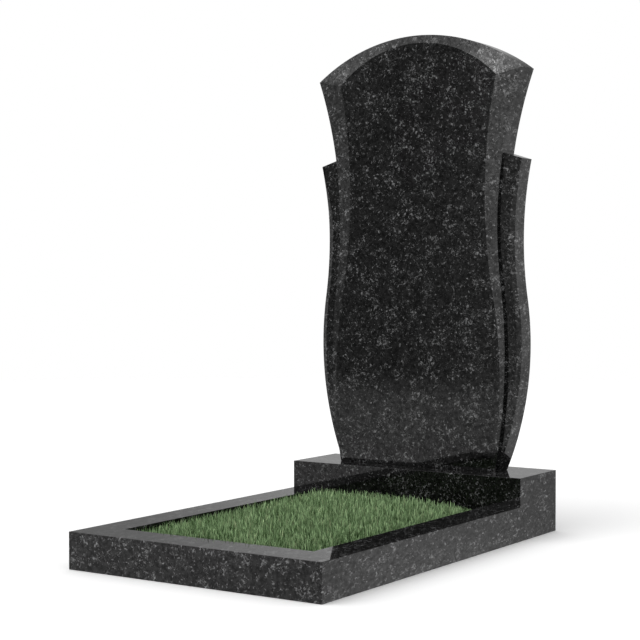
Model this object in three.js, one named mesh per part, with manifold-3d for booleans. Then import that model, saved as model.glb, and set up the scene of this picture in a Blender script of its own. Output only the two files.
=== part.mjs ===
// Polished granite headstone with a waisted, arch-topped stele on a plinth and a kerbed bed of turf.
// Millimetres, +Z up. The origin is on the ground under the middle of the whole plan.
// +X is the right-hand side as a visitor sees it, -Y is towards the visitor.

import * as THREE from "three";
import { mergeVertices } from "three/addons/utils/BufferGeometryUtils.js";
import Module from "manifold-3d";

// Plinth, the block that the stele stands on
const plinthWidth = 650;
const plinthDepth = 196;
const plinthHeight = 150;

// Kerb, three bars in front of the plinth, flush with its ends
const kerbRun = 849;
const kerbFrontWidth = 90;
const kerbSideWidth = 80;
const kerbHeight = 81.5;

// Bed inside the kerb: the grass is highest along the middle of the bed
const soilHeight = 50;
const turfEdgeHeight = 21;
const turfCrown = 15;
const turfColumns = 12;

// Stele, one slab
const steleHeight = 1077;
const steleDepth = 65;
const ledgeDepth = 12;
const bevelFall = 0.1;
const edgeBevelShare = 0.3;
const edgeBevelLeast = 0.8;
const edgeBevelFall = 0.33;
const edgeBevelFade = 140;

// Crown, the arched top of the rim, and how far the front face stays inside it
const crownHalfWidth = 292.5;
const crownRise = 97;
const topBevelWidth = 19;
const cornerBevelWidth = 69.5;
const faceCrownRise = 93;

// Shoulders, where the wider back layer ends below the crown
const shoulderHeight = 761.5;
const shoulderHalfWidth = 287.5;
const shoulderSlope = 0.31;
const shoulderReach = 90;

// Flanks: each swells at the hip, draws in to the waist and flares above it
const hipBevelWidth = 12.3;
const hipLedgeWidth = 38.6;
const rimFlank = {
  hipHalfWidth: 248.3,
  hipHeight: 272.5,
  hipRadius: 1409,
  waistDraw: 22.1,
  waistRadius: 1098.8,
};
const faceFlank = {
  hipHalfWidth: rimFlank.hipHalfWidth - hipBevelWidth,
  hipHeight: 208,
  hipRadius: 1283,
  waistDraw: 42.1,
  waistRadius: 1372.7,
};
const backFlank = {
  hipHalfWidth: rimFlank.hipHalfWidth + hipLedgeWidth,
  hipHeight: 308.4,
  hipRadius: 788,
  waistDraw: 19.3,
  waistRadius: 946.1,
};
const cornerEase = 4;

// Fit between neighbouring stones
const joint = 0.3;

// Fineness of the faceted curves
const flankSteps = 36;
const crownSteps = 40;

// Places worked out from the sizes above
const totalDepth = kerbRun + plinthDepth;
const plinthFront = totalDepth / 2 - plinthDepth;
const plinthMiddle = plinthFront + plinthDepth / 2;
const kerbFront = -totalDepth / 2;
const steleFront = plinthMiddle - steleDepth / 2;
const steleBack = steleFront + steleDepth;
const ledgePlane = steleFront + ledgeDepth;

const finishes = {
  stele: { color: 0x26282a, roughness: 0.12, metalness: 0 },
  plinth: { color: 0x2b2d2f, roughness: 0.14, metalness: 0 },
  kerb: { color: 0x303234, roughness: 0.16, metalness: 0 },
  soil: { color: 0x2c2118, roughness: 0.95, metalness: 0 },
  turf: { color: 0x4f7a45, roughness: 0.9, metalness: 0 },
};

function namedMesh(name, geometry, finish) {
  const mesh = new THREE.Mesh(geometry, new THREE.MeshStandardMaterial(finish));
  mesh.name = name;
  return mesh;
}

// A rectangular block given by its lowest and highest corners
function block(name, low, high, finish) {
  const size = high.clone().sub(low);
  const mesh = namedMesh(name, new THREE.BoxGeometry(size.x, size.y, size.z), finish);
  mesh.position.copy(low).add(high).multiplyScalar(0.5);
  return mesh;
}

// Half width of a flank at a height: a hip arc that runs smoothly into a waist arc
function flankHalfWidth({ hipHalfWidth, hipHeight, hipRadius, waistDraw, waistRadius }, height) {
  const radiusSum = hipRadius + waistRadius;
  const climb = Math.sqrt(2 * waistDraw * radiusSum - waistDraw ** 2);
  if (height < hipHeight + (climb * hipRadius) / radiusSum) {
    return hipHalfWidth - arcRise(hipRadius, height - hipHeight);
  }
  return hipHalfWidth - waistDraw + arcRise(waistRadius, height - hipHeight - climb);
}

// How far an arc has curved away from its middle, at a distance along the tangent there
function arcRise(radius, along) {
  return radius - Math.sqrt(radius ** 2 - along ** 2);
}

// Points up the left flank, from the foot to a corner where the curve is brought exactly to a half width
function leftFlank(flank, cornerHeight, cornerHalfWidth) {
  const miss = cornerHalfWidth - flankHalfWidth(flank, cornerHeight);
  const points = [];
  for (let i = 0; i <= flankSteps; i += 1) {
    const share = i / flankSteps;
    const height = cornerHeight * share;
    points.push(new THREE.Vector2(-flankHalfWidth(flank, height) - miss * share ** cornerEase, height));
  }
  return points;
}

// Points along an arch from its left corner to its right one, without the two corners
function archPoints(halfWidth, topHeight, rise) {
  const radius = (halfWidth ** 2 + rise ** 2) / (2 * rise);
  const halfAngle = Math.asin(halfWidth / radius);
  const points = [];
  for (let i = 1; i < crownSteps; i += 1) {
    const angle = halfAngle * (2 * (i / crownSteps) - 1);
    const drop = radius * (1 - Math.cos(angle));
    points.push(new THREE.Vector2(radius * Math.sin(angle), topHeight - drop));
  }
  return points;
}

function mirrored(points) {
  return points.map((point) => new THREE.Vector2(-point.x, point.y)).reverse();
}

// Outline of a waisted slab with an arched top, clockwise from its left foot as seen from the front
function archedOutline(flank, halfWidth, topHeight, rise) {
  const left = leftFlank(flank, topHeight - rise, halfWidth);
  return [...left, ...archPoints(halfWidth, topHeight, rise), ...mirrored(left)];
}

// A closed body through outlines of equal length. Each layer has its points and a depth for each of them
function layeredBody(layers) {
  const count = layers[0].outline.length;
  const positions = [];
  const indices = [];
  for (const layer of layers) {
    layer.outline.forEach((point, i) => positions.push(point.x, layer.depths[i], point.y));
  }
  for (let layer = 0; layer < layers.length - 1; layer += 1) {
    for (let i = 0; i < count; i += 1) {
      const next = (i + 1) % count;
      const near = layer * count;
      const far = near + count;
      indices.push(near + i, near + next, far + i, near + next, far + next, far + i);
    }
  }
  const frontOutline = layers[0].outline;
  for (const [a, b, c] of THREE.ShapeUtils.triangulateShape(frontOutline, [])) {
    indices.push(...turning(frontOutline, a, b, c, 1));
  }
  const backOutline = layers.at(-1).outline;
  const backStart = (layers.length - 1) * count;
  for (const [a, b, c] of THREE.ShapeUtils.triangulateShape(backOutline, [])) {
    indices.push(...turning(backOutline, a, b, c, -1).map((index) => backStart + index));
  }
  const geometry = new THREE.BufferGeometry();
  geometry.setAttribute("position", new THREE.Float32BufferAttribute(positions, 3));
  geometry.setIndex(indices);
  return geometry;
}

// The three corners in the order that turns counter-clockwise (sign 1) or clockwise (sign -1)
function turning(outline, a, b, c, sign) {
  const side = outline[b].clone().sub(outline[a]).cross(outline[c].clone().sub(outline[a]));
  return side * sign > 0 ? [a, b, c] : [a, c, b];
}

function sameDepth(outline, depth) {
  return outline.map(() => depth);
}

// Front layer: the face, a bevel that falls back in proportion to its width, and straight sides
function frontLayer() {
  const faceHalfWidth = crownHalfWidth - cornerBevelWidth;
  const face = archedOutline(faceFlank, faceHalfWidth, steleHeight - topBevelWidth, faceCrownRise);
  const rim = archedOutline(rimFlank, crownHalfWidth, steleHeight, crownRise);
  const rimDepths = rim.map((point, i) => steleFront + bevelFall * point.distanceTo(face[i]));
  return layeredBody([
    { outline: face, depths: sameDepth(face, steleFront) },
    { outline: rim, depths: rimDepths },
    { outline: rim, depths: sameDepth(rim, steleBack) },
  ]);
}

// Width of the narrow bevel on the back layer: a share of the ledge, fading out towards the shoulder
function edgeBevelWidth(height) {
  const ledge = flankHalfWidth(backFlank, height) - flankHalfWidth(rimFlank, height);
  const fade = THREE.MathUtils.smoothstep(shoulderHeight - height, 0, edgeBevelFade);
  return Math.max(edgeBevelLeast, edgeBevelShare * ledge) * fade;
}

// Back layer: wider than the front one, up to shoulders that slope upwards until they are inside it
function backLayer() {
  const flank = leftFlank(backFlank, shoulderHeight, shoulderHalfWidth);
  const reachHeight = shoulderHeight + shoulderSlope * shoulderReach;
  const shoulderEnd = new THREE.Vector2(shoulderReach - shoulderHalfWidth, reachHeight);
  const left = [...flank, shoulderEnd];
  const widths = [...flank.map((point) => edgeBevelWidth(point.y)), 0];
  const leftInset = left.map((point, i) => new THREE.Vector2(point.x + widths[i], point.y));
  const edge = [...left, ...mirrored(left)];
  const inset = [...leftInset, ...mirrored(leftInset)];
  const edgeDepths = [...widths, ...widths.toReversed()].map((width) => ledgePlane + edgeBevelFall * width);
  return layeredBody([
    { outline: inset, depths: sameDepth(inset, ledgePlane) },
    { outline: edge, depths: edgeDepths },
    { outline: edge, depths: sameDepth(edge, steleBack) },
  ]);
}

// A geometry as a solid, with coincident points merged and the triangles that they leave empty dropped
function toSolid(wasm, geometry) {
  const merged = mergeVertices(geometry);
  const corners = merged.index.array;
  const kept = [];
  for (let i = 0; i < corners.length; i += 3) {
    const [a, b, c] = corners.subarray(i, i + 3);
    if (a !== b && b !== c && c !== a) kept.push(a, b, c);
  }
  const vertProperties = Float32Array.from(merged.attributes.position.array);
  return new wasm.Manifold(new wasm.Mesh({ numProp: 3, vertProperties, triVerts: Uint32Array.from(kept) }));
}

function toGeometry(solid) {
  const mesh = solid.getMesh();
  const geometry = new THREE.BufferGeometry();
  geometry.setAttribute("position", new THREE.BufferAttribute(mesh.vertProperties, 3));
  geometry.setIndex(new THREE.BufferAttribute(mesh.triVerts, 1));
  geometry.computeVertexNormals();
  return geometry;
}

// The stele: both layers are one slab of stone
async function stele() {
  const wasm = await Module();
  wasm.setup();
  const slab = toSolid(wasm, frontLayer()).add(toSolid(wasm, backLayer()));
  const mesh = namedMesh("stele", toGeometry(slab), finishes.stele);
  mesh.position.z = plinthHeight + joint;
  return mesh;
}

function plinth() {
  const low = new THREE.Vector3(-plinthWidth / 2, plinthFront, 0);
  const high = new THREE.Vector3(plinthWidth / 2, plinthFront + plinthDepth, plinthHeight);
  return block("plinth", low, high, finishes.plinth);
}

// The front bar runs the full width, and the side bars stand between it and the plinth
function kerb() {
  const bars = new THREE.Group();
  const outer = plinthWidth / 2;
  const frontLow = new THREE.Vector3(-outer, kerbFront, 0);
  const frontHigh = new THREE.Vector3(outer, kerbFront + kerbFrontWidth, kerbHeight);
  bars.add(block("kerb_front", frontLow, frontHigh, finishes.kerb));
  const sideStart = frontHigh.y + joint;
  const sideEnd = plinthFront - joint;
  const inner = outer - kerbSideWidth;
  const leftLow = new THREE.Vector3(-outer, sideStart, 0);
  bars.add(block("kerb_left", leftLow, new THREE.Vector3(-inner, sideEnd, kerbHeight), finishes.kerb));
  const rightLow = new THREE.Vector3(inner, sideStart, 0);
  bars.add(block("kerb_right", rightLow, new THREE.Vector3(outer, sideEnd, kerbHeight), finishes.kerb));
  return bars;
}

// Plan of the bed, clear of the kerb bars and the plinth
function bedPlan() {
  const halfWidth = plinthWidth / 2 - kerbSideWidth - joint;
  return {
    low: new THREE.Vector2(-halfWidth, kerbFront + kerbFrontWidth + joint),
    high: new THREE.Vector2(halfWidth, plinthFront - joint),
  };
}

function soil() {
  const { low, high } = bedPlan();
  const bottom = new THREE.Vector3(low.x, low.y, 0);
  return block("soil", bottom, new THREE.Vector3(high.x, high.y, soilHeight), finishes.soil);
}

// The body of the grass, from the soil to the tips of most blades
function turf() {
  const { low, high } = bedPlan();
  const width = high.x - low.x;
  const depth = high.y - low.y;
  const geometry = new THREE.BoxGeometry(width, depth, turfEdgeHeight, turfColumns, 1, 1);
  const points = geometry.attributes.position;
  for (let i = 0; i < points.count; i += 1) {
    const fromMiddle = points.getX(i) / (width / 2);
    const rise = turfCrown * (1 - fromMiddle ** 2);
    if (points.getZ(i) > 0) points.setZ(i, turfEdgeHeight / 2 + rise);
  }
  const mesh = namedMesh("turf", geometry, finishes.turf);
  mesh.position.set((low.x + high.x) / 2, (low.y + high.y) / 2, soilHeight + joint + turfEdgeHeight / 2);
  return mesh;
}

const headstone = new THREE.Group();
headstone.add(plinth(), await stele(), kerb(), soil(), turf());

export default headstone;
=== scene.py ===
# Polished granite headstone with a waisted stele on a plinth and a kerbed bed of turf.
# Metres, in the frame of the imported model: +Z up, +X to a visitor's right, -Y towards the visitor.
import math
import random
from typing import NamedTuple
import bmesh
import bpy
import numpy as np
from mathutils import Matrix, Vector, noise


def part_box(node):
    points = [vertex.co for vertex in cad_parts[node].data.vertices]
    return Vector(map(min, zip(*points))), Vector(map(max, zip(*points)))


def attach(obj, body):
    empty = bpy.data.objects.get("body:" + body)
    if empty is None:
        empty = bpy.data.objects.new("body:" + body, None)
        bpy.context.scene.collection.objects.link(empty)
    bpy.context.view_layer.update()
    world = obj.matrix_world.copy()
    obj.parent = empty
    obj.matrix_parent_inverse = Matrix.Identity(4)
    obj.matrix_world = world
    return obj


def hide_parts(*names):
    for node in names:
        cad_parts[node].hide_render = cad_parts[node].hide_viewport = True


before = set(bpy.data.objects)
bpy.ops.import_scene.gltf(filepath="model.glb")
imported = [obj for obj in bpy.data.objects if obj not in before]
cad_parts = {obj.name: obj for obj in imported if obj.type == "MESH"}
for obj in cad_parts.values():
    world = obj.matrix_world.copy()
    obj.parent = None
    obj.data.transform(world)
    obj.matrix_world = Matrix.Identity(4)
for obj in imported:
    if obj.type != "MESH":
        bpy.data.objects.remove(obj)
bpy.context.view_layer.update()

# Edges and joints of the stone
ARRIS = 0.0009            # rounding along every cut edge
ARRIS_SEGMENTS = 2
ARRIS_ANGLE = math.radians(30)
CREASE_ANGLE = math.radians(2.5)
HALF_JOINT = 0.00015      # the blocks meet in the middle of the model's joints
SAME_PLANE = 1e-6
SAME_POINT = 1e-7

# Stele, as the model has it
LEDGE_DEPTH = 0.012
BEVEL_FALL = 0.1
EDGE_BEVEL_SHARE = 0.3
EDGE_BEVEL_LEAST = 0.0008
EDGE_BEVEL_FALL = 0.33
EDGE_BEVEL_FADE = 0.14
CROWN_HALF_WIDTH = 0.2925
CROWN_RISE = 0.097
TOP_BEVEL_WIDTH = 0.019
CORNER_BEVEL_WIDTH = 0.0695
FACE_CROWN_RISE = 0.093
SHOULDER_HEIGHT = 0.7615
SHOULDER_HALF_WIDTH = 0.2875
SHOULDER_SLOPE = 0.31
SHOULDER_REACH = 0.09
HIP_HALF_WIDTH = 0.2483
HIP_BEVEL_WIDTH = 0.0123
HIP_LEDGE_WIDTH = 0.0386
CORNER_EASE = 4
FLANK_STEPS = 150
CROWN_STEPS = 110

# Granite: noise scales are per metre, and a band says where a noise starts to count and counts in full
GRAIN_STRETCH = (1.0, 0.5, 1.0)       # the grain is drawn out along the depth
CLUSTERS = {"scale": 28, "detail": 2.5, "roughness": 0.55}
CLUSTER_BAND = (0.36, 0.66)
CLUSTER_PULL = 0.037                  # added to the grains' noise in a cluster, taken off outside one
GRAINS = {"scale": 140, "detail": 2.5, "roughness": 0.6, "distortion": 0.7}
GRAIN_BAND = (0.537, 0.71)
THREADS = {"scale": 90, "detail": 2, "roughness": 0.55, "distortion": 1.4}
THREAD_BAND = (0.022, 0.004)          # distance from the noise's middle value
THREAD_CLUSTERS = (0.48, 0.62)
THREAD_BREAKS = (0.42, 0.6)
SPECKS = {"scale": 310, "detail": 1, "roughness": 0.5}
SPECK_BAND = (0.66, 0.74)
SPECK_STRENGTH = 0.5
TONES = {"scale": 210, "detail": 2, "roughness": 0.6}
TONE_BAND = (0.35, 0.7)
WEAKEST_TONE = 0.25
HAZE = {"scale": 120, "detail": 3, "roughness": 0.65}
HAZE_BAND = (0.33, 0.68)
GROUND_GREYS = (0.0011, 0.0064)       # darkest and palest
CRYSTAL_GREY = 0.185
CRYSTAL_WARMTH = -0.01
CRYSTAL_CONTRAST = 1.4
GROUND_GLOSS = 0.185
HAZE_GLOSS = 0.17
CRYSTAL_GLOSS = 0.5
STONE_ROUGHNESSES = (0.03, 0.07)      # ground and crystal
STONE_IOR = 1.5

# Soil
SOIL_SEED = 3
SOIL_STEP = 0.008
SOIL_LUMP = 0.003
CRUMBS = {"scale": 160, "detail": 4, "roughness": 0.65}
CRUMB_BAND = (0.3, 0.7)
CRUMB_HEIGHT = 0.002
CRUMB_STRENGTH = 0.8
DARK_SOIL = (0.006, 0.0045, 0.003, 1)
PALE_SOIL = (0.035, 0.024, 0.015, 1)
SOIL_ROUGHNESS = 0.95

# Turf
GRASS_SEED = 7
GRASS_STRIPS = 3
BLADES_PER_STRIP = 7500
ROOT_DEPTH = 0.002        # the roots start this far down in the soil
TURF_EDGE_HEIGHT = 0.023
TURF_MARGIN = 0.005
TIP_CLEARANCE = 0.001
TIP_OVERHANG = 0.007      # how far a tip may lean out over a bar
TIP_RISE = 0.006          # and how far it may stand above the turf of the model
THIN_EDGE = 0.018         # the grass thins out over this width along the side bars
END_THICKNESS = 0.4       # at the front and back it starts this share of the way through
EDGE_DENSITY = 0.35       # share of the blades that grow at the very edge
EDGE_LENGTH = 0.86        # their length, as a share of the others'
BACK_LIFT = 0.008         # the turf's left edge stands higher in the back
BACK_REACH = 0.5
LEFT_LIFT = 0.005         # and higher than its right edge, apart from the front
LEFT_REACH = 0.12
CORNER_DROP = 0.011       # its back right corner lies lower
CORNER_REACH = 0.15

# Blades of grass
BLADE_HALF_WIDTHS = (0.0009, 0.0017)
BLADE_LENGTHS = (0.55, 1.35, 0.95)    # shortest, longest and commonest, as shares of the turf's height
USUAL_LEAN = 0.12
LEAN_SPREAD = 0.22
# Stretches up a blade, as shares of its length, of its lean and, for the upper end, of its half width
BLADE_STRETCHES = (
    (0.0, 0.0, 1.0),
    (0.34, 0.5, 0.95),
    (0.28, 0.9, 0.75),
    (0.22, 1.4, 0.45),
    (0.16, 2.0, 0.0),
)
SHADE_SPREAD = (0.9, 1.4)
CLUMPS_PER_METRE = 75
CLUMP_SHADE = 0.25
DARKER_EDGE = 0.12
LIGHTER_BEHIND = 0.12
# Painted shade: a blade's colour darkens to this green at its root, where the dense turf shades it
ROOT_SHADE_GREEN = (0.013, 0.026, 0.008, 1)
DULL_GREEN = (0.055, 0.11, 0.036, 1)
FRESH_GREEN = (0.49, 0.7, 0.37, 1)
STRAW = (0.55, 0.6, 0.36, 1)
STRAW_BAND = (0.9, 1.0)
STRAW_SHARE = 0.6
# Painted shade: the share of a blade's height over which its painted root shade gives way to its own
# colour
ROOT_SHADE_BAND = (0.16, 0.9)
GRASS_ROUGHNESS = 0.6
GRASS_IOR = 1.18

# Camera: the photograph's view, solved from the straight edges of the plinth and kerb
SENSOR_WIDTH = 36         # millimetres, as the focal length
FOCAL_LENGTH = 87.9885
CAMERA_PLACE = (1.96899, -3.00139, 0.62943)
CAMERA_TURN = 0.5867264
CAMERA_DIP = 0.0284884

# Floor and key light
FLOOR_SEGMENTS = 96
FLOOR_DROP = 0.0005
FLOOR_GREY = 0.9
FLOOR_ROUGHNESS = 0.9
FLOOR_FADE_START = 3.3
FLOOR_FADE_END = 6.3
KEY_ANGLE = math.radians(50)
KEY_ENERGY = 1.1
KEY_DIRECTION = (0.5, 0.55, -1)

# Mirrored studio: azimuth from the front (-Y) towards the left (-X), and height, both in degrees
STUDIO_COLOUR = 0.8
STUDIO_LIGHT = 1.28
ZENITH_FADE = (70, 40)    # straight above, all sides are alike
GAP_DARKNESS = 0.89
GAP_RIGHT = (20, 31)      # an edge: where it starts, and where it has its full strength
GAP_LEFT = (51.5, 39)
GAP_BOTTOM = (-4.8, -3.4)
GAP_TOP = (15, 9)
GAP_LEAN = 1.6            # its left edge moves in by this per degree of height
GAP_LEAN_TOP = 6.0
FRONT_LEFT = (26, 15)
FRONT_RIGHT = (-4, 10)
FRONT_BOTTOM = (-9, -3)
FRONT_RISE = (0, 6)
FRONT_LIGHTS = (0.96, 1.4)
UPPER_BOTTOM = (12, 16)
UPPER_TOP = (60, 35)
UPPER_RIGHT_LIGHT = 2.7
UPPER_RIGHT_START = (4, 15)
UPPER_RIGHT_END = (23.5, 20.4)
UPPER_LEFT_LIGHT = 1.42
UPPER_LEFT_START = (0, 15)
UPPER_LEFT_END = (80, 60)
UPPER_LEFT_RISE = (36, 42)
UPPER_LEFT_LIGHTS = (1.0, 1.22)
BACK_DARKNESS = 0.64
BACK_LEFT = (85, 115)
BACK_RIGHT = (-148, -157)
CORNER_DARKNESS = 0.26
CORNER_START = (105, 125)
CORNER_END = (147, 139)
HIGH_DARKNESS = 0.42
HIGH_BOTTOM = (14, 24)
EDGE_LIGHT = 0.13
EDGE_START = (-145, -152)
EDGE_END = (-170, -158)
EDGE_ABOVE = (-7.6, -5.4)
EDGE_BELOW = (-8.6, -10.4)


class Flank:
    """One side of an outline: a hip arc that runs smoothly into a waist arc."""

    def __init__(self, hip_half_width, hip_height, hip_radius, waist_draw, waist_radius):
        self.hip_half_width = hip_half_width
        self.hip_height = hip_height
        self.hip_radius = hip_radius
        self.waist_draw = waist_draw
        self.waist_radius = waist_radius

    def half_width(self, height):
        radius_sum = self.hip_radius + self.waist_radius
        climb = math.sqrt(2 * self.waist_draw * radius_sum - self.waist_draw ** 2)
        if height < self.hip_height + climb * self.hip_radius / radius_sum:
            return self.hip_half_width - arc_rise(self.hip_radius, height - self.hip_height)
        past_waist = height - self.hip_height - climb
        return self.hip_half_width - self.waist_draw + arc_rise(self.waist_radius, past_waist)

    def points(self, corner_height, corner_half_width):
        """Points up the left flank, from the foot to a corner that has exactly this half width."""
        miss = corner_half_width - self.half_width(corner_height)
        found = []
        for i in range(FLANK_STEPS + 1):
            share = i / FLANK_STEPS
            height = corner_height * share
            found.append((-self.half_width(height) - miss * share ** CORNER_EASE, height))
        return found


def arc_rise(radius, along):
    """How far an arc has curved away from its middle, at a distance along the tangent there."""
    return radius - math.sqrt(radius ** 2 - along ** 2)


RIM_FLANK = Flank(
    HIP_HALF_WIDTH,
    hip_height=0.2725, hip_radius=1.409, waist_draw=0.0221, waist_radius=1.0988,
)
FACE_FLANK = Flank(
    HIP_HALF_WIDTH - HIP_BEVEL_WIDTH,
    hip_height=0.208, hip_radius=1.283, waist_draw=0.0421, waist_radius=1.3727,
)
BACK_FLANK = Flank(
    HIP_HALF_WIDTH + HIP_LEDGE_WIDTH,
    hip_height=0.3084, hip_radius=0.788, waist_draw=0.0193, waist_radius=0.9461,
)


def arch_points(half_width, top_height, rise):
    """Points along an arch from its left corner to its right one, without the two corners."""
    radius = (half_width ** 2 + rise ** 2) / (2 * rise)
    half_angle = math.asin(half_width / radius)
    angles = [half_angle * (2 * i / CROWN_STEPS - 1) for i in range(1, CROWN_STEPS)]
    return [(radius * math.sin(a), top_height - radius * (1 - math.cos(a))) for a in angles]


def mirrored(points):
    return [(-x, z) for x, z in reversed(points)]


def arched_outline(flank, half_width, top_height, rise):
    left = flank.points(top_height - rise, half_width)
    return left + arch_points(half_width, top_height, rise) + mirrored(left)


def smooth(t):
    """A smooth step from 0 to 1."""
    t = min(max(t, 0), 1)
    return t * t * (3 - 2 * t)


def edge_bevel_width(height):
    """Width of the narrow bevel on the back layer: a share of the ledge, fading towards the shoulder."""
    ledge = BACK_FLANK.half_width(height) - RIM_FLANK.half_width(height)
    fade = smooth((SHOULDER_HEIGHT - height) / EDGE_BEVEL_FADE)
    return max(EDGE_BEVEL_LEAST, EDGE_BEVEL_SHARE * ledge) * fade


def layered_solid(bm, layers):
    """Adds a closed body through outlines of equal length, each a list of points and of depths."""
    rings = []
    for outline, depths in layers:
        rings.append([bm.verts.new((x, y, z)) for (x, z), y in zip(outline, depths)])
    count = len(rings[0])
    for near, far in zip(rings, rings[1:]):
        for i in range(count):
            after = (i + 1) % count
            bm.faces.new((near[i], near[after], far[after], far[i]))
    bm.faces.new(list(reversed(rings[0])))
    bm.faces.new(rings[-1])


def add_to_scene(name, data):
    item = bpy.data.objects.new(name, data)
    bpy.context.scene.collection.objects.link(item)
    return item


def mesh_object(name, bm):
    bmesh.ops.recalc_face_normals(bm, faces=bm.faces)
    mesh = bpy.data.meshes.new(name)
    bm.to_mesh(mesh)
    bm.free()
    return add_to_scene(name, mesh)


def apply_modifier(piece, modifier):
    bpy.context.view_layer.objects.active = piece
    with bpy.context.temp_override(object=piece, active_object=piece, selected_objects=[piece]):
        bpy.ops.object.modifier_apply(modifier=modifier.name)


def round_arrises(piece, limit):
    """Rounds each cut edge, and keeps the shallow creases between polished faces crisp."""
    mesh = piece.data
    mesh.polygons.foreach_set("use_smooth", [True] * len(mesh.polygons))
    mesh.set_sharp_from_angle(angle=CREASE_ANGLE)
    bevel = piece.modifiers.new("arris", "BEVEL")
    bevel.width = ARRIS
    bevel.segments = ARRIS_SEGMENTS
    bevel.limit_method = limit
    bevel.angle_limit = ARRIS_ANGLE
    bevel.harden_normals = True
    apply_modifier(piece, bevel)


def make_slab(front, back, height):
    """The stele's front layer, from its flat face over a wide bevel to its arched rim."""
    face_half_width = CROWN_HALF_WIDTH - CORNER_BEVEL_WIDTH
    face = arched_outline(FACE_FLANK, face_half_width, height - TOP_BEVEL_WIDTH, FACE_CROWN_RISE)
    rim = arched_outline(RIM_FLANK, CROWN_HALF_WIDTH, height, CROWN_RISE)
    rim_depths = [front + BEVEL_FALL * math.dist(a, b) for a, b in zip(rim, face)]
    bm = bmesh.new()
    layered_solid(bm, [
        (face, [front] * len(face)),
        (rim, rim_depths),
        (rim, [back] * len(rim)),
    ])
    return mesh_object("stele_stone", bm)


def make_wings(ledge_plane, back):
    """The wider back layer, which ends in two sloping shoulders."""
    flank = BACK_FLANK.points(SHOULDER_HEIGHT, SHOULDER_HALF_WIDTH)
    reach = (SHOULDER_REACH - SHOULDER_HALF_WIDTH, SHOULDER_HEIGHT + SHOULDER_SLOPE * SHOULDER_REACH)
    left = flank + [reach]
    widths = [edge_bevel_width(z) for x, z in flank] + [0.0]
    left_inset = [(x + width, z) for (x, z), width in zip(left, widths)]
    edge = left + mirrored(left)
    inset = left_inset + mirrored(left_inset)
    edge_depths = [ledge_plane + EDGE_BEVEL_FALL * width for width in widths + widths[::-1]]
    bm = bmesh.new()
    layered_solid(bm, [
        (inset, [ledge_plane] * len(inset)),
        (edge, edge_depths),
        (edge, [back] * len(edge)),
    ])
    bmesh.ops.remove_doubles(bm, verts=bm.verts, dist=SAME_POINT)
    return mesh_object("stele_wings", bm)


def make_stele():
    """One slab of stone: both layers are joined into one closed mesh."""
    low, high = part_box("stele")
    slab = make_slab(low.y, high.y, high.z - low.z)
    wings = make_wings(low.y + LEDGE_DEPTH, high.y)
    union = slab.modifiers.new("one slab", "BOOLEAN")
    union.operation = "UNION"
    union.solver = "EXACT"
    union.object = wings
    apply_modifier(slab, union)
    bpy.data.objects.remove(wings)
    slab.data.transform(Matrix.Translation((0, 0, low.z)))
    round_arrises(slab, "ANGLE")
    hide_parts("stele")
    return slab


def make_block(name, node, meets=()):
    """A squared stone. It reaches over half the joint at each side named in meets, such as "+y"."""
    low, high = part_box(node)
    low, high = Vector(low), Vector(high)
    for side in meets:
        axis = "xyz".index(side[1])
        if side[0] == "+":
            high[axis] += HALF_JOINT
        else:
            low[axis] -= HALF_JOINT
    bm = bmesh.new()
    bmesh.ops.create_cube(bm, size=1)
    for vert in bm.verts:
        vert.co = [(low[i] + high[i]) / 2 + vert.co[i] * (high[i] - low[i]) for i in range(3)]
    weight = bm.edges.layers.float.new("bevel_weight_edge")
    for edge in bm.edges:
        edge[weight] = 0.0 if on_joint(edge, low, high, meets) else 1.0
    piece = mesh_object(name, bm)
    round_arrises(piece, "WEIGHT")
    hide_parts(node)
    return piece


def on_joint(edge, low, high, meets):
    """Whether an edge lies in a face where two stones meet."""
    for side in meets:
        axis = "xyz".index(side[1])
        plane = high[axis] if side[0] == "+" else low[axis]
        if all(abs(vert.co[axis] - plane) < SAME_PLANE for vert in edge.verts):
            return True
    return False


class Graph:
    """The nodes of a material or a world, added and linked by short calls."""

    def __init__(self, owner):
        owner.use_nodes = True
        self.owner = owner
        self.nodes = owner.node_tree.nodes
        self.links = owner.node_tree.links

    def add(self, kind, settings=None, **inputs):
        node = self.nodes.new("ShaderNode" + kind)
        for name, value in (settings or {}).items():
            setattr(node, name, value)
        self.feed(node, **inputs)
        return node

    def feed(self, node, **inputs):
        """Sets or links inputs, each named in small letters or by an underscore and its number."""
        for name, value in inputs.items():
            if name[0] == "_":
                socket = node.inputs[int(name[1:])]
            else:
                socket = node.inputs[name.replace("_", " ").title().replace("Ior", "IOR")]
            if isinstance(value, bpy.types.NodeSocket):
                self.links.new(value, socket)
            else:
                socket.default_value = value

    def surface(self, **inputs):
        self.feed(self.nodes["Principled BSDF"], **inputs)

    def math(self, operation, a, b=0.0, c=0.0, clamp=False):
        node = self.add("Math", {"operation": operation, "use_clamp": clamp}, _0=a, _1=b, _2=c)
        return node.outputs[0]

    def times(self, first, *others):
        for other in others:
            first = self.math("MULTIPLY", first, other)
        return first

    def plus(self, first, *others):
        for other in others:
            first = self.math("ADD", first, other)
        return first

    def noise(self, vector, **inputs):
        return self.add("TexNoise", vector=vector, **inputs).outputs[0]

    def band(self, value, start, end, low=0.0, high=1.0):
        """A value's smooth step from start to end, as a value from low to high."""
        settings = {"interpolation_type": "SMOOTHSTEP"}
        node = self.add("MapRange", settings, _0=value, _1=start, _2=end, _3=low, _4=high)
        return node.outputs[0]

    def mix(self, factor, a, b):
        node = self.add("Mix", {"data_type": "RGBA"}, _0=factor, _6=a, _7=b)
        return node.outputs[2]


def grey(value, warmth=0.0):
    return (value * (1 + warmth), value, value * (1 - warmth), 1)


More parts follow.
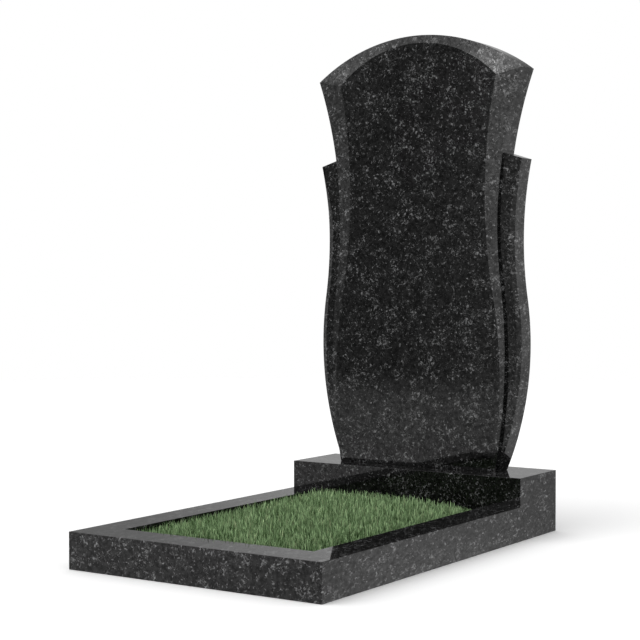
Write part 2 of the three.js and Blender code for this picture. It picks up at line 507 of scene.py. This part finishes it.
def crystals(g, place):
    """How much grey feldspar shows, from 0 to 1: grains and threads in loose clusters, and specks."""
    clusters = g.noise(place, **CLUSTERS)
    specks = g.noise(place, **SPECKS)
    density = g.band(clusters, *CLUSTER_BAND, -CLUSTER_PULL, CLUSTER_PULL)
    grain = g.band(g.plus(g.noise(place, **GRAINS), density), *GRAIN_BAND)
    ridge = g.math("ABSOLUTE", g.math("SUBTRACT", g.noise(place, **THREADS), 0.5))
    thread = g.times(
        g.band(ridge, *THREAD_BAND),
        g.band(clusters, *THREAD_CLUSTERS),
        g.band(specks, *THREAD_BREAKS),
    )
    speck = g.times(g.band(specks, *SPECK_BAND), SPECK_STRENGTH)
    crystal = g.math("MAXIMUM", g.math("MAXIMUM", grain, thread), speck)
    tone = g.band(g.noise(place, **TONES), *TONE_BAND, WEAKEST_TONE, 1.0)
    return g.math("MULTIPLY", crystal, tone, clamp=True)


def granite():
    """Polished near-black granite. The light grains also mirror more than the ground does."""
    g = Graph(bpy.data.materials.new("polished_granite"))
    object_place = g.add("TexCoord").outputs["Object"]
    place = g.add("Mapping", vector=object_place, scale=GRAIN_STRETCH).outputs[0]
    crystal = crystals(g, place)
    haze = g.band(g.noise(place, **HAZE), *HAZE_BAND)
    darkest, palest = GROUND_GREYS
    ground = g.mix(haze, grey(darkest), grey(palest))
    feldspar = grey(CRYSTAL_GREY, CRYSTAL_WARMTH)
    gloss = g.math("MULTIPLY_ADD", haze, HAZE_GLOSS, GROUND_GLOSS)
    g.surface(
        base_color=g.mix(g.math("POWER", crystal, CRYSTAL_CONTRAST), ground, feldspar),
        specular_ior_level=g.math("MULTIPLY_ADD", g.math("SQRT", crystal), CRYSTAL_GLOSS, gloss),
        roughness=g.band(crystal, 0, 1, *STONE_ROUGHNESSES),
        ior=STONE_IOR,
    )
    return g.owner


def garden_soil():
    g = Graph(bpy.data.materials.new("garden_soil"))
    crumbs = g.noise(g.add("TexCoord").outputs["Object"], **CRUMBS)
    bump = g.add("Bump", strength=CRUMB_STRENGTH, distance=CRUMB_HEIGHT, height=crumbs)
    g.surface(
        base_color=g.mix(g.band(crumbs, *CRUMB_BAND), DARK_SOIL, PALE_SOIL),
        roughness=SOIL_ROUGHNESS,
        normal=bump.outputs[0],
    )
    return g.owner


def grass_blades():
    """Blade colours from each blade's own shade and the height along it, which paints shade: each blade
    darkens towards its root.
    """
    g = Graph(bpy.data.materials.new("grass_blades"))
    attribute = g.add("Attribute", {"attribute_name": "blade"})
    channels = g.add("SeparateColor", color=attribute.outputs["Color"])
    shade, along, dryness = (channels.outputs[i] for i in range(3))
    body = g.mix(shade, DULL_GREEN, FRESH_GREEN)
    body = g.mix(g.band(dryness, *STRAW_BAND, 0.0, STRAW_SHARE), body, STRAW)
    g.surface(
        # painted shade: each blade darkens towards its root
        base_color=g.mix(g.band(along, *ROOT_SHADE_BAND), ROOT_SHADE_GREEN, body),
        roughness=GRASS_ROUGHNESS,
        ior=GRASS_IOR,
    )
    return g.owner


def make_soil():
    """Crumbly soil: a closed body with an uneven top."""
    low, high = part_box("soil")
    rng = np.random.default_rng(SOIL_SEED)
    columns = round((high.x - low.x) / SOIL_STEP)
    rows = round((high.y - low.y) / SOIL_STEP)
    lumps = rng.random((rows + 1, columns + 1)) * SOIL_LUMP
    bm = bmesh.new()
    top = []
    for j in range(rows + 1):
        y = low.y + (high.y - low.y) * j / rows
        for i in range(columns + 1):
            x = low.x + (high.x - low.x) * i / columns
            top.append(bm.verts.new((x, y, high.z - lumps[j, i])))
    row = columns + 1
    for j in range(rows):
        for i in range(columns):
            k = j * row + i
            bm.faces.new((top[k], top[k + 1], top[k + row + 1], top[k + row]))
    rim = [edge for edge in bm.edges if edge.is_boundary]
    skirt = bmesh.ops.extrude_edge_only(bm, edges=rim)["geom"]
    bottom = [item for item in skirt if isinstance(item, bmesh.types.BMVert)]
    for vert in bottom:
        vert.co.z = low.z
    bmesh.ops.holes_fill(bm, edges=[edge for edge in bm.edges if edge.is_boundary])
    piece = mesh_object("soil_bed", bm)
    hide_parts("soil")
    return piece


class Blade(NamedTuple):
    """One blade of grass. It leans towards its heading, and its width runs along its facing."""

    root: Vector
    length: float
    lean: float
    heading: float
    facing: float
    half_width: float
    shade: float
    dryness: float


class Grass:
    """A strip of blades, each a bent ribbon with a pointed tip, kept inside the turf's box."""

    def __init__(self, low, high):
        self.low = low
        self.high = high
        self.bar_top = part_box("kerb_front")[1].z + TIP_CLEARANCE
        self.verts = []
        self.faces = []
        self.tones = []

    def canopy(self, x, y):
        """Height of the tips: highest along the middle of the bed."""
        edge = self.low.z + TURF_EDGE_HEIGHT
        across = (2 * x - self.low.x - self.high.x) / (self.high.x - self.low.x)
        height = edge + (self.high.z - edge) * (1 - across ** 2)
        if across < 0:
            lift = LEFT_LIFT * smooth((y - self.low.y) / LEFT_REACH)
            lift += BACK_LIFT * smooth(1 - (self.high.y - y) / BACK_REACH)
            return height + lift * across ** 2
        return height - CORNER_DROP * smooth(1 - (self.high.y - y) / CORNER_REACH) * across ** 2

    def thickness(self, x, y):
        """How thickly the grass grows, from 0 at the side bars to 1 further in."""
        side = min(x - self.low.x, self.high.x - x)
        end = min(y - self.low.y, self.high.y - y) + THIN_EDGE * END_THICKNESS
        return smooth(min(side, end) / THIN_EDGE)

    def kept_in(self, point, above_bars):
        """A point of a blade, moved so that it stays clear of the bars and the plinth."""
        slack = TIP_OVERHANG if above_bars else -TIP_CLEARANCE
        x = min(max(point.x, self.low.x - slack), self.high.x + slack)
        y = min(max(point.y, self.low.y - slack), self.high.y - TIP_CLEARANCE)
        z = min(point.z, self.high.z + TIP_RISE)
        return Vector((x, y, z))

    def add(self, blade):
        start = len(self.verts)
        across = Vector((math.cos(blade.facing), math.sin(blade.facing), 0)) * blade.half_width
        ahead = Vector((math.cos(blade.heading), math.sin(blade.heading), 0))
        up = Vector((0, 0, 1))
        point = blade.root
        for share, bend, width in BLADE_STRETCHES:
            tilt = blade.lean * bend
            stretch = (ahead * math.sin(tilt) + up * math.cos(tilt)) * blade.length * share
            point = self.kept_in(point + stretch, point.z > self.bar_top)
            along = min((point.z - blade.root.z) / blade.length, 1)
            sides = (-across * width, across * width) if width else (Vector(),)
            for side in sides:
                self.verts.append(point + side)
                self.tones.extend((blade.shade, along, blade.dryness, 1))
        for k in range(start, len(self.verts) - 3, 2):
            self.faces.append((k, k + 1, k + 3, k + 2))
        self.faces.append((len(self.verts) - 3, len(self.verts) - 2, len(self.verts) - 1))

    def build(self, name):
        mesh = bpy.data.meshes.new(name)
        mesh.from_pydata(self.verts, [], self.faces)
        mesh.polygons.foreach_set("use_smooth", [True] * len(self.faces))
        layer = mesh.color_attributes.new("blade", "FLOAT_COLOR", "POINT")
        layer.data.foreach_set("color", self.tones)
        return add_to_scene(name, mesh)


def make_grass(strip):
    """One strip of the lawn, counted from the front bar towards the plinth."""
    low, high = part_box("turf")
    grass = Grass(low, high)
    rng = random.Random(GRASS_SEED + strip)
    depth = (high.y - low.y - 2 * TURF_MARGIN) / GRASS_STRIPS
    start = low.y + TURF_MARGIN + depth * strip
    for _ in range(BLADES_PER_STRIP):
        x = rng.uniform(low.x + TURF_MARGIN, high.x - TURF_MARGIN)
        y = rng.uniform(start, start + depth)
        thickness = grass.thickness(x, y)
        reach = grass.canopy(x, y) - low.z + ROOT_DEPTH
        edge_length = EDGE_LENGTH + (1 - EDGE_LENGTH) * thickness
        length = reach * rng.triangular(*BLADE_LENGTHS) * edge_length
        lean = abs(rng.gauss(USUAL_LEAN, LEAN_SPREAD))
        heading = rng.uniform(0, 2 * math.pi)
        facing = rng.uniform(0, math.pi)
        half_width = rng.uniform(*BLADE_HALF_WIDTHS)
        clump = noise.noise(Vector((x, y, 0)) * CLUMPS_PER_METRE)
        shade = rng.betavariate(*SHADE_SPREAD) + CLUMP_SHADE * clump - DARKER_EDGE * (1 - thickness)
        shade += LIGHTER_BEHIND * ((y - low.y) / (high.y - low.y) - 0.5)
        shade = min(max(shade, 0), 1)
        dryness = rng.random()
        if rng.random() < EDGE_DENSITY + (1 - EDGE_DENSITY) * thickness:
            root = Vector((x, y, low.z - ROOT_DEPTH))
            grass.add(Blade(root, length, lean, heading, facing, half_width, shade, dryness))
    return grass.build(f"grass_strip_{strip + 1}")


def make_camera():
    data = bpy.data.cameras.new("camera")
    data.sensor_width = SENSOR_WIDTH
    data.lens = FOCAL_LENGTH
    camera = add_to_scene("camera", data)
    camera.location = CAMERA_PLACE
    camera.rotation_euler = (math.pi / 2 - CAMERA_DIP, 0, CAMERA_TURN)
    bpy.context.scene.camera = camera


def make_floor():
    """A pale floor that fades out into the white studio."""
    bm = bmesh.new()
    bmesh.ops.create_circle(bm, cap_ends=True, segments=FLOOR_SEGMENTS, radius=FLOOR_FADE_END)
    floor = mesh_object("studio_floor", bm)
    floor.location.z = -FLOOR_DROP
    g = Graph(bpy.data.materials.new("pale_floor"))
    place = g.add("TexCoord").outputs["Object"]
    radius = g.add("VectorMath", {"operation": "LENGTH"}, _0=place).outputs["Value"]
    g.surface(
        base_color=grey(FLOOR_GREY),
        roughness=FLOOR_ROUGHNESS,
        specular_ior_level=0.0,
        alpha=g.band(radius, FLOOR_FADE_END, FLOOR_FADE_START),
    )
    floor.data.materials.append(g.owner)
    floor.visible_glossy = False


def dark_gap(g, azimuth, height):
    """In front on the left: a darker gap between the panels, narrower above."""
    risen = g.math("MINIMUM", g.math("MAXIMUM", height, 0.0), GAP_LEAN_TOP)
    leaning = g.plus(azimuth, g.times(risen, GAP_LEAN))
    sides = g.times(g.band(azimuth, *GAP_RIGHT), g.band(leaning, *GAP_LEFT))
    return g.times(sides, g.band(height, *GAP_BOTTOM), g.band(height, *GAP_TOP))


def front_panel(g, azimuth, height):
    """In front on the right: a tall panel, brighter above."""
    sides = g.times(g.band(azimuth, *FRONT_LEFT), g.band(azimuth, *FRONT_RIGHT))
    strength = g.band(height, *FRONT_RISE, *FRONT_LIGHTS)
    return g.times(sides, g.band(height, *FRONT_BOTTOM), strength, g.band(height, *ZENITH_FADE))


def upper_panels(g, azimuth, height):
    """In front above: a narrow bright panel on the right, and a wide one that brightens to the left."""
    right = g.times(g.band(azimuth, *UPPER_RIGHT_END), g.band(azimuth, *UPPER_RIGHT_START))
    left = g.times(
        g.band(azimuth, *UPPER_LEFT_END, 0.0, UPPER_LEFT_LIGHT),
        g.band(azimuth, *UPPER_LEFT_START),
        g.band(azimuth, *UPPER_LEFT_RISE, *UPPER_LEFT_LIGHTS),
    )
    both = g.plus(g.times(right, UPPER_RIGHT_LIGHT), left)
    return g.times(both, g.times(g.band(height, *UPPER_BOTTOM), g.band(height, *UPPER_TOP)))


def darkness_behind(g, azimuth, height):
    """Behind: half as bright, darker above and in the left corner, and lighter along the right edge."""
    back = g.plus(g.band(azimuth, *BACK_LEFT), g.band(azimuth, *BACK_RIGHT))
    corner = g.times(g.band(azimuth, *CORNER_END), g.band(azimuth, *CORNER_START))
    above = g.times(back, g.band(height, *HIGH_BOTTOM))
    edge = g.times(
        g.times(g.band(azimuth, *EDGE_START), g.band(azimuth, *EDGE_END)),
        g.plus(g.band(height, *EDGE_ABOVE), g.band(height, *EDGE_BELOW)),
    )
    darkness = g.plus(
        g.times(back, BACK_DARKNESS),
        g.times(corner, CORNER_DARKNESS),
        g.times(above, HIGH_DARKNESS),
        g.times(edge, -EDGE_LIGHT),
    )
    return g.times(darkness, g.band(height, *ZENITH_FADE))


def make_world():
    """A plain white studio. Polished stone sees the panels, the gap and the darker back in it."""
    world = bpy.data.worlds.new("studio")
    bpy.context.scene.world = world
    g = Graph(world)
    g.nodes.clear()
    direction = g.add("SeparateXYZ", vector=g.add("TexCoord").outputs["Generated"])
    x, y, z = direction.outputs
    azimuth = g.math("DEGREES", g.math("ARCTAN2", g.times(x, -1.0), g.times(y, -1.0)))
    height = g.math("DEGREES", g.math("ARCSINE", z))

    seen = g.math("SUBTRACT", STUDIO_LIGHT, g.times(dark_gap(g, azimuth, height), GAP_DARKNESS))
    seen = g.math("SUBTRACT", seen, darkness_behind(g, azimuth, height))
    panels = g.plus(front_panel(g, azimuth, height), upper_panels(g, azimuth, height))
    mirrored_light = g.add("Background", color=grey(STUDIO_COLOUR), strength=g.plus(seen, panels))
    plain_light = g.add("Background", color=grey(1.0), strength=1.0)
    is_mirrored = g.add("LightPath").outputs["Is Glossy Ray"]
    light = g.add("MixShader", _0=is_mirrored, _1=plain_light.outputs[0], _2=mirrored_light.outputs[0])
    g.add("OutputWorld", surface=light.outputs[0])


def make_key_light():
    """A very soft key light, high on the left, that shapes the grass and grounds the stone."""
    data = bpy.data.lights.new("key_light", "SUN")
    data.angle = KEY_ANGLE
    data.energy = KEY_ENERGY
    lamp = add_to_scene("key_light", data)
    lamp.rotation_euler = Vector(KEY_DIRECTION).to_track_quat("-Z", "Y").to_euler()
    lamp.visible_glossy = False


make_camera()
make_floor()
make_world()
make_key_light()

stone = granite()
pieces = [
    (make_stele(), "stele_granite", stone),
    (make_block("plinth_stone", "plinth"), "plinth_granite", stone),
    (make_block("kerb_front_bar", "kerb_front", ("+y",)), "kerb_granite", stone),
    (make_block("kerb_left_bar", "kerb_left", ("-y", "+y")), "kerb_granite", stone),
    (make_block("kerb_right_bar", "kerb_right", ("-y", "+y")), "kerb_granite", stone),
    (make_soil(), "soil", garden_soil()),
]
grass = grass_blades()
strips = [make_grass(i) for i in range(GRASS_STRIPS)]
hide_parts("turf")
pieces += [(strip, "turf", grass) for strip in strips]
for piece, slot, material in pieces:
    piece.data.materials.clear()
    piece.data.materials.append(material)
    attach(piece, "root")

bpy.context.scene.view_settings.view_transform = "Standard"
